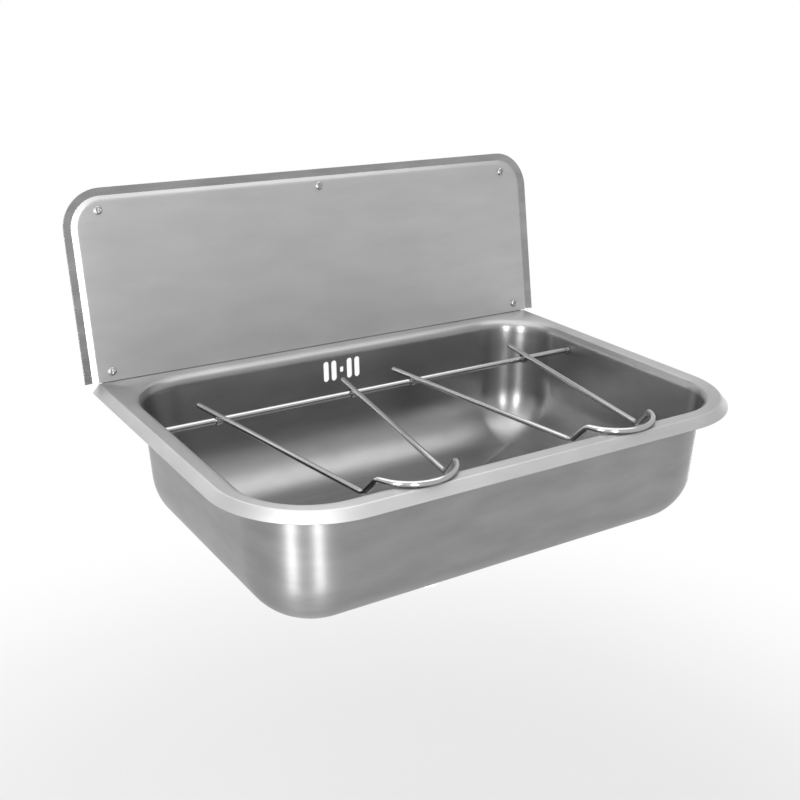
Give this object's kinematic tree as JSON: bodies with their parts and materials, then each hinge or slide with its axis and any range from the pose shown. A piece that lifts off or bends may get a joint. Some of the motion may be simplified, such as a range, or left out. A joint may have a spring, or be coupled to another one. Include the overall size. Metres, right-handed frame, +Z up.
{
  "type": "wall-mounted utility sink",
  "caption": "Pressed steel utility sink with rolled rim and leaning splash plate, hung from a wall rail; wire bucket grids fold up about a rod across the bowl.",
  "frame": {"origin": "on the wall, at the middle of the four wall holes of the rail; the rim's top is 35 mm higher", "axes": "+X along the wall to the right seen from the front, +Y into the wall, +Z up"},
  "size_m": [0.6142, 0.4526, 0.4311],
  "materials": {
    "drawn_steel": "satin, drawn sheet",
    "splash_steel": "matt, pressed sheet",
    "polished_steel": "polished wire and rod",
    "screw_steel": "bright",
    "plated_steel": "zinc plated",
    "black_rubber": "matt",
    "grey_plastic": "matt",
    "white_plastic": "moulded"
  },
  "bodies": {
    "sink": {"sink_bowl": "drawn_steel", "splash_plate": "splash_steel", "splash_gasket": "black_rubber", "backing_strip": "grey_plastic", "top_screws": "screw_steel", "lower_screws": "screw_steel", "lower_screw_nuts": "plated_steel", "wall_rail": "plated_steel", "rail_washers": "plated_steel", "rail_nuts": "plated_steel", "pivot_rod": "polished_steel", "rod_inner_washers": "polished_steel", "rod_outer_washers": "plated_steel", "rod_nuts": "plated_steel", "upper_seal": "black_rubber", "strainer_plate": "polished_steel", "waste_screw": "screw_steel", "lower_seal": "black_rubber", "waste_body": "white_plastic"},
    "left_grid": {"left_bucket_grid": "polished_steel", "left_grid_lugs": "polished_steel"},
    "right_grid": {"right_bucket_grid": "polished_steel", "right_grid_lugs": "polished_steel"}
  },
  "joints": [
    {"name": "left_grid_hinge", "type": "hinge", "parent": "sink", "child": "left_grid", "pos_m": [-0.1239, -0.15661, 0.015], "axis": [-1, 0, 0], "range_deg": [0, 116]},
    {"name": "right_grid_hinge", "type": "hinge", "parent": "sink", "child": "right_grid", "pos_m": [0.1189, -0.15661, 0.015], "axis": [-1, 0, 0], "range_deg": [0, 116]}
  ]
}
